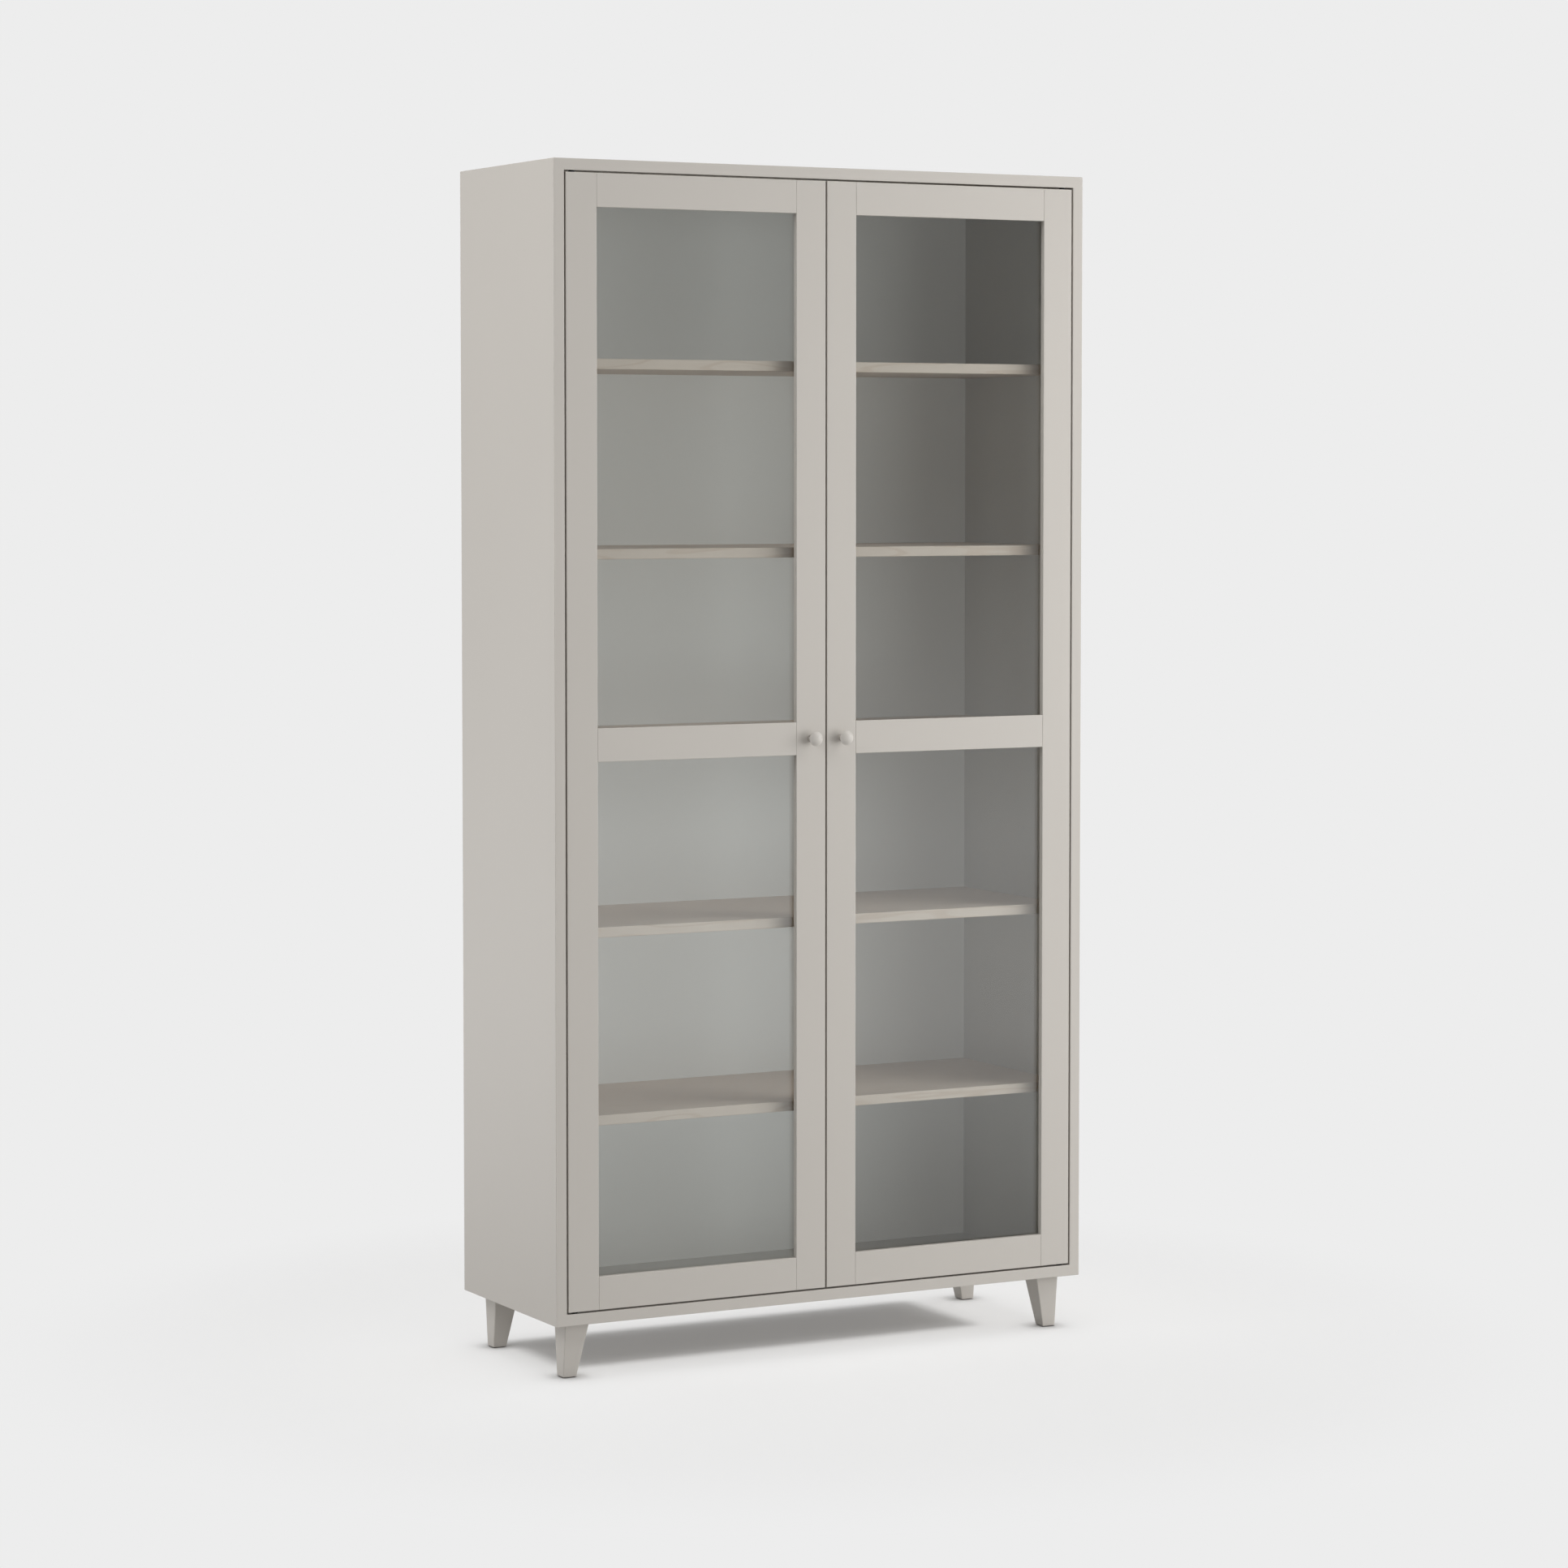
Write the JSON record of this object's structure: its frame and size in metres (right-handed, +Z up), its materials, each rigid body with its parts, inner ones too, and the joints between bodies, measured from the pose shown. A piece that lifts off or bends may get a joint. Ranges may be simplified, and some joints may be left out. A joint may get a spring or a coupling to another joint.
{
  "type": "bookcase with glass doors",
  "caption": "Tall free-standing bookcase on tapered legs, with inset framed glass doors on concealed pivots, and loose wooden shelves.",
  "frame": {"origin": "on the floor, under the middle of the bounding box, knobs included", "axes": "+X to the right seen from the front, +Y from the doors to the back, +Z up"},
  "size_m": [1, 0.396, 1.991],
  "materials": {
    "lacquer": "satin warm grey lacquer on board",
    "door_lacquer": "satin warm grey lacquer on solid wood",
    "knob_lacquer": "semi-gloss warm grey lacquer on turned wood",
    "shelf_veneer": "matt lacquered pale birch veneer and lipping",
    "beech": "bare beech",
    "glass": "clear float glass",
    "zinc_steel": "bright zinc plated",
    "nickel_steel": "nickel plated",
    "black_steel": "blackened steel",
    "nylon": "moulded nylon",
    "magnet": "sintered magnet"
  },
  "bodies": {
    "root": {"bottom_panel": "lacquer", "right_side_panel": "lacquer", "top_panel": "lacquer", "left_side_panel": "lacquer", "back_panel": "lacquer", "mitre_tongues": "beech", "leg_dowels": "beech", "back_panel_screws": "zinc_steel", "catch_screws": "zinc_steel", "leg_bolts": "zinc_steel", "leg_inserts": "zinc_steel", "pivot_bushes": "nylon", "leg_glides": "nylon", "catch_housing": "nylon", "shelf_1": "shelf_veneer", "shelf_2": "shelf_veneer", "shelf_3": "shelf_veneer", "shelf_4": "shelf_veneer", "shelf_5": "shelf_veneer", "shelf_lippings": "shelf_veneer", "shelf_pins": "nickel_steel", "front_left_leg": "door_lacquer", "front_right_leg": "door_lacquer", "back_left_leg": "door_lacquer", "back_right_leg": "door_lacquer", "catch_magnets": "magnet"},
    "left_door": {"left_door_hinge_stile": "door_lacquer", "left_door_lock_stile": "door_lacquer", "left_door_bottom_rail": "door_lacquer", "left_door_middle_rail": "door_lacquer", "left_door_top_rail": "door_lacquer", "left_door_upper_glass": "glass", "left_door_lower_glass": "glass", "left_door_upper_beads": "door_lacquer", "left_door_lower_beads": "door_lacquer", "left_door_knob": "knob_lacquer", "left_door_knob_screw": "zinc_steel", "left_door_pivots": "black_steel", "left_door_pivot_screws": "zinc_steel", "left_door_strike_plate": "nickel_steel", "left_door_strike_screw": "zinc_steel"},
    "right_door": {"right_door_hinge_stile": "door_lacquer", "right_door_lock_stile": "door_lacquer", "right_door_bottom_rail": "door_lacquer", "right_door_middle_rail": "door_lacquer", "right_door_top_rail": "door_lacquer", "right_door_upper_glass": "glass", "right_door_lower_glass": "glass", "right_door_upper_beads": "door_lacquer", "right_door_lower_beads": "door_lacquer", "right_door_knob": "knob_lacquer", "right_door_knob_screw": "zinc_steel", "right_door_pivots": "black_steel", "right_door_pivot_screws": "zinc_steel", "right_door_strike_plate": "nickel_steel", "right_door_strike_screw": "zinc_steel"}
  },
  "joints": [
    {"name": "left_door_hinge", "type": "hinge", "parent": "root", "child": "left_door", "pos_m": [-0.464, -0.166, 0.112], "axis": [0, 0, -1], "range_deg": [0, 110]},
    {"name": "right_door_hinge", "type": "hinge", "parent": "root", "child": "right_door", "pos_m": [0.464, -0.166, 0.112], "axis": [0, 0, 1], "range_deg": [0, 110]}
  ]
}
